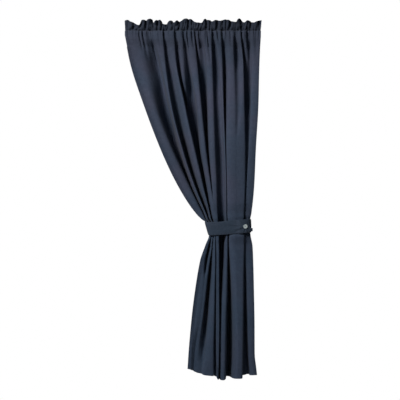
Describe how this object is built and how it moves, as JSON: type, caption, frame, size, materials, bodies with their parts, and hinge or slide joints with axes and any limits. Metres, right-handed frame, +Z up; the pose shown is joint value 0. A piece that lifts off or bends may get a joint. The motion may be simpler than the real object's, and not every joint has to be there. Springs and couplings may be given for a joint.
{
  "type": "rod pocket linen curtain panel with tieback",
  "caption": "Gathered linen curtain panel with a ruffled rod pocket heading, drawn to one side by a buttoned tieback and flaring to the hem.",
  "frame": {"origin": "middle of the curtain rod that the pocket takes, half way between the two side edges of the heading", "axes": "+Z up, +X to the right as seen from the room, along the rod, -Y towards the room"},
  "size_m": [0.8228, 0.1491, 2.136],
  "materials": {
    "panel_cloth": "matt navy linen, plain weave with slubs",
    "heading_cloth": "matt navy linen, plain weave, gathered",
    "tieback_cloth": "matt navy linen, two layers, pressed and edge stitched",
    "button_shell": "pale grey, satin, pearly"
  },
  "bodies": {
    "root": {"panel": "panel_cloth", "heading": "heading_cloth", "tieback": "tieback_cloth", "button": "button_shell"}
  },
  "joints": []
}
